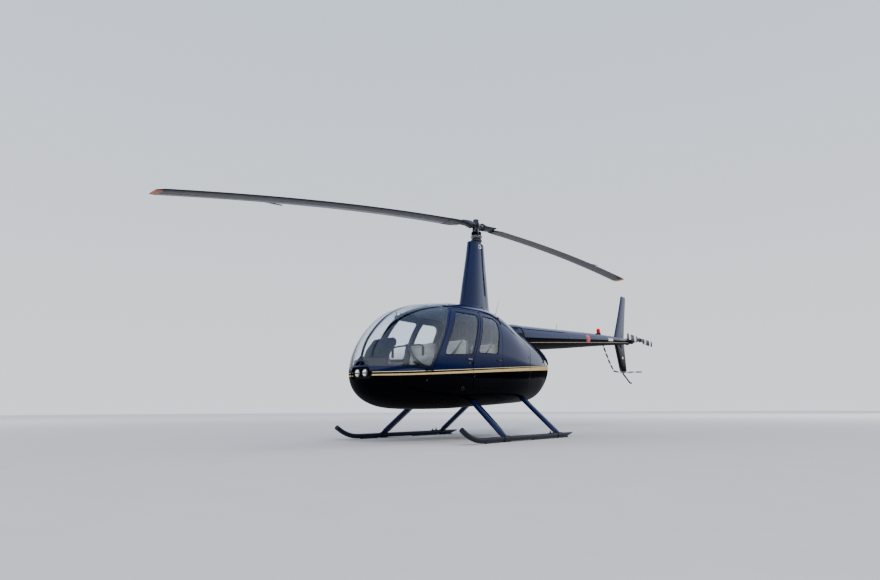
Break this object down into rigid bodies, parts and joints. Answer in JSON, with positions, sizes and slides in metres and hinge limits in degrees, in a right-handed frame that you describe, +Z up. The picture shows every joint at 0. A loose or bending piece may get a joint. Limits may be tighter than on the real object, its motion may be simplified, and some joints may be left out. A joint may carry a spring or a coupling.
{
  "type": "light four-seat piston helicopter",
  "caption": "Light helicopter on skids, with a rounded glazed cabin, hinged doors, tall mast fairing, teetering two-blade rotor, slim tail boom, fins and a tail rotor that turns.",
  "frame": {"origin": "on the ground, under the middle of the machine's box from blade tip to tail rotor tip", "axes": "+Z up, -Y towards the nose, +X towards the machine's left (port) side"},
  "size_m": [2.256, 11.6101, 3.3795],
  "materials": {
    "paint_navy": "glossy dark navy metallic paint",
    "paint_black": "glossy near-black paint below a pale gold stripe",
    "clear_glazing": "clear acrylic glazing, lightly tinted",
    "lamp_reflector": "sealed-beam lamps with bright reflectors",
    "dark_trim": "matt dark moulding",
    "seat_leather": "light grey leather",
    "engine_metal": "cast alloy, dull",
    "dark_metal": "satin dark paint",
    "paint_banded": "black and white warning bands",
    "lamp_red": "red moulded lens",
    "hub_metal": "satin steel",
    "blade_grey": "satin grey with orange-brown tips"
  },
  "bodies": {
    "airframe": {"cabin_tub": "paint_black", "cabin_roof": "paint_navy", "windscreen_bow": "paint_navy", "windscreen_left": "clear_glazing", "windscreen_right": "clear_glazing", "nose_lamps": "lamp_reflector", "cabin_bulkhead": "dark_trim", "seat_front_left": "seat_leather", "seat_front_right": "seat_leather", "seat_rear_left": "seat_leather", "seat_rear_right": "seat_leather", "instrument_console": "dark_trim", "cyclic_stick": "dark_trim", "aft_cowl": "paint_navy", "engine_block": "engine_metal", "tail_boom": "paint_navy", "mast_fairing": "paint_navy", "upper_fin": "paint_navy", "lower_fin": "paint_navy", "stabiliser": "paint_navy", "tail_gearbox": "dark_metal", "tail_rotor_guard": "paint_banded", "tail_skid": "dark_metal", "beacon": "lamp_red", "whip_aerial": "dark_trim", "skid_left": "dark_metal", "skid_right": "dark_metal", "leg_front_left": "paint_navy", "leg_rear_left": "paint_navy", "leg_front_right": "paint_navy", "leg_rear_right": "paint_navy", "swashplate_fixed": "hub_metal"},
    "door_front_left": {"door_front_left": "paint_navy", "window_front_left": "clear_glazing"},
    "door_rear_left": {"door_rear_left": "paint_navy", "window_rear_left": "clear_glazing"},
    "door_front_right": {"door_front_right": "paint_navy", "window_front_right": "clear_glazing"},
    "door_rear_right": {"door_rear_right": "paint_navy", "window_rear_right": "clear_glazing"},
    "rotor_mast": {"rotor_shaft": "hub_metal", "swashplate_turning": "hub_metal"},
    "rotor_head": {"rotor_hub": "hub_metal", "main_blade_1": "blade_grey", "main_blade_2": "blade_grey"},
    "tail_rotor": {"tail_rotor": "paint_banded"}
  },
  "joints": [
    {"name": "door_front_left_hinge", "type": "hinge", "parent": "airframe", "child": "door_front_left", "pos_m": [0.566, -2.678, 0.825], "axis": [0, 0, -1], "range_deg": [0, 75]},
    {"name": "door_rear_left_hinge", "type": "hinge", "parent": "airframe", "child": "door_rear_left", "pos_m": [0.656, -1.818, 0.925], "axis": [0, 0, -1], "range_deg": [0, 75]},
    {"name": "door_front_right_hinge", "type": "hinge", "parent": "airframe", "child": "door_front_right", "pos_m": [-0.566, -2.678, 0.825], "axis": [0, 0, 1], "range_deg": [0, 75]},
    {"name": "door_rear_right_hinge", "type": "hinge", "parent": "airframe", "child": "door_rear_right", "pos_m": [-0.656, -1.818, 0.925], "axis": [0, 0, 1], "range_deg": [0, 75]},
    {"name": "main_rotor_spin", "type": "hinge", "parent": "airframe", "child": "rotor_mast", "pos_m": [0, -0.818, 3], "axis": [0, 0, 1], "continuous": true},
    {"name": "main_rotor_teeter", "type": "hinge", "parent": "rotor_mast", "child": "rotor_head", "pos_m": [0, -0.818, 3.3], "axis": [0.9986, -0.0523, 0], "range_deg": [-11, 3]},
    {"name": "tail_rotor_spin", "type": "hinge", "parent": "airframe", "child": "tail_rotor", "pos_m": [0.3, 5.072, 1.93], "axis": [1, 0, 0], "continuous": true}
  ]
}
